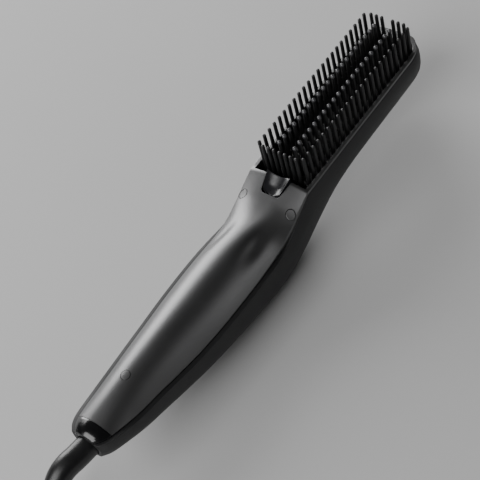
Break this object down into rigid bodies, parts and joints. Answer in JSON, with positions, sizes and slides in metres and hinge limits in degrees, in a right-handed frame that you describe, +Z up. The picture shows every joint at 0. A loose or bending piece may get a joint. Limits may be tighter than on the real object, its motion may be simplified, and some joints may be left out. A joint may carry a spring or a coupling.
{
  "type": "hot comb",
  "caption": "Hand-held heated straightening comb with a pull-off bristle frame, heated tooth rows, buttons and display on the back, and a swivelling mains lead.",
  "frame": {"origin": "under the middle of the comb's length, on the surface it lies on", "axes": "+X along the head towards its tip, +Y to the left, +Z up along the bristles"},
  "size_m": [0.4486, 0.054, 0.053],
  "materials": {
    "front_shell": "satin gunmetal coating on moulded plastic",
    "back_shell": "moulded plastic, fine satin texture",
    "bristle_frame": "moulded nylon, satin",
    "heater_plate": "black ceramic coating",
    "tooth_beads": "heatproof nylon",
    "ptc_heaters": "fired ceramic",
    "insulation_sheet": "polyimide film",
    "heater_clamp": "stamped sheet",
    "heater_carrier": "glass-filled, heatproof",
    "carrier_screws": "zinc-plated",
    "thermal_fuse": "ceramic sleeve",
    "temperature_sensor": "resin bead",
    "heater_leads": "silicone-covered",
    "control_board": "solder-masked laminate",
    "relay": "moulded case",
    "film_capacitor": "epoxy case",
    "control_chip": "moulded package",
    "tact_switches": "moulded case",
    "display_module": "moulded case",
    "display_window": "smoked, clear",
    "power_button": "polished",
    "plus_button": "polished",
    "minus_button": "polished",
    "board_screws": "zinc-plated",
    "shell_screws": "zinc-plated",
    "screw_plugs": "satin gunmetal coating on moulded plastic",
    "tail_cap": "polished black",
    "swivel_bush": "acetal",
    "contact_blades": "sprung strip",
    "contact_leads": "silicone-covered",
    "swivel_stem": "moulded",
    "contact_rings": "turned",
    "strain_relief": "soft PVC, satin",
    "lead_run": "soft PVC, satin",
    "lead_coil": "soft PVC, satin",
    "lead_tie": "plastic tie",
    "plug_lead": "soft PVC, satin",
    "plug_body": "moulded PVC, satin",
    "plug_pins": "nickel-plated"
  },
  "bodies": {
    "handle": {"front_shell": "front_shell", "back_shell": "back_shell", "heater_plate": "heater_plate", "tooth_beads": "tooth_beads", "ptc_heaters": "ptc_heaters", "insulation_sheet": "insulation_sheet", "heater_clamp": "heater_clamp", "heater_carrier": "heater_carrier", "carrier_screws": "carrier_screws", "thermal_fuse": "thermal_fuse", "temperature_sensor": "temperature_sensor", "heater_leads": "heater_leads", "control_board": "control_board", "relay": "relay", "film_capacitor": "film_capacitor", "control_chip": "control_chip", "tact_switches": "tact_switches", "display_module": "display_module", "display_window": "display_window", "board_screws": "board_screws", "shell_screws": "shell_screws", "screw_plugs": "screw_plugs", "tail_cap": "tail_cap", "swivel_bush": "swivel_bush", "contact_blades": "contact_blades", "contact_leads": "contact_leads", "lead_run": "lead_run", "lead_coil": "lead_coil", "lead_tie": "lead_tie", "plug_lead": "plug_lead", "plug_body": "plug_body", "plug_pins": "plug_pins"},
    "comb": {"bristle_frame": "bristle_frame"},
    "power": {"power_button": "power_button"},
    "plus": {"plus_button": "plus_button"},
    "minus": {"minus_button": "minus_button"},
    "swivel": {"swivel_stem": "swivel_stem", "contact_rings": "contact_rings", "strain_relief": "strain_relief"}
  },
  "joints": [
    {"name": "comb_pull_off", "type": "slide", "parent": "handle", "child": "comb", "axis": [0, 0, 1], "range_m": [0, 0.025]},
    {"name": "lead_swivel", "type": "hinge", "parent": "handle", "child": "swivel", "pos_m": [-0.10915, 0, 0.026], "axis": [1, 0, 0], "continuous": true},
    {"name": "power_press", "type": "slide", "parent": "handle", "child": "power", "axis": [0.1614, 0, 0.9869], "range_m": [0, 0.0006], "stiffness_N_per_m": 2500},
    {"name": "plus_press", "type": "slide", "parent": "handle", "child": "plus", "axis": [0.1614, 0, 0.9869], "range_m": [0, 0.0006], "stiffness_N_per_m": 2500},
    {"name": "minus_press", "type": "slide", "parent": "handle", "child": "minus", "axis": [0.1614, 0, 0.9869], "range_m": [0, 0.0006], "stiffness_N_per_m": 2500}
  ]
}
